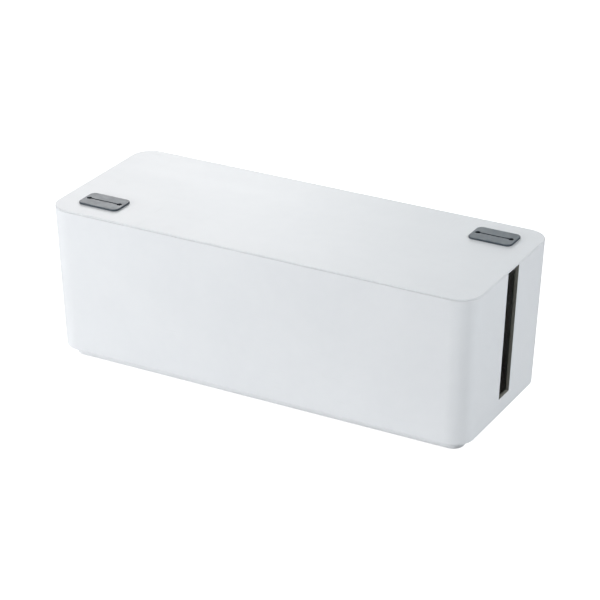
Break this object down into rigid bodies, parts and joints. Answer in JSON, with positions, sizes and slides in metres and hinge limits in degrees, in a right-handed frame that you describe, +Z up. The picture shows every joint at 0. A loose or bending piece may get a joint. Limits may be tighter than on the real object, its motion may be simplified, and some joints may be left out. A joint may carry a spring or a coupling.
{
  "type": "cable management box",
  "caption": "White moulded box with a lift-off lid that hides a power strip; soft slit outlets in the lid and tall cord slots in the ends.",
  "frame": {"origin": "centre of the footprint, on the surface that the box stands on", "axes": "+Z up, +X along the length, and the front wall faces -Y"},
  "size_m": [0.4, 0.157, 0.1426],
  "materials": {
    "white_plastic": "satin moulded",
    "grey_rubber": "matt soft-touch",
    "foot_rubber": "matt"
  },
  "bodies": {
    "base": {"tub": "white_plastic", "foot_front_left": "foot_rubber", "foot_front_right": "foot_rubber", "foot_back_left": "foot_rubber", "foot_back_right": "foot_rubber"},
    "cover": {"lid": "white_plastic", "cable_outlet_front_left": "grey_rubber", "cable_outlet_back_right": "grey_rubber"}
  },
  "joints": [
    {"name": "lid_lift", "type": "slide", "parent": "base", "child": "cover", "axis": [0, 0, 1], "range_m": [0, 0.1]}
  ]
}
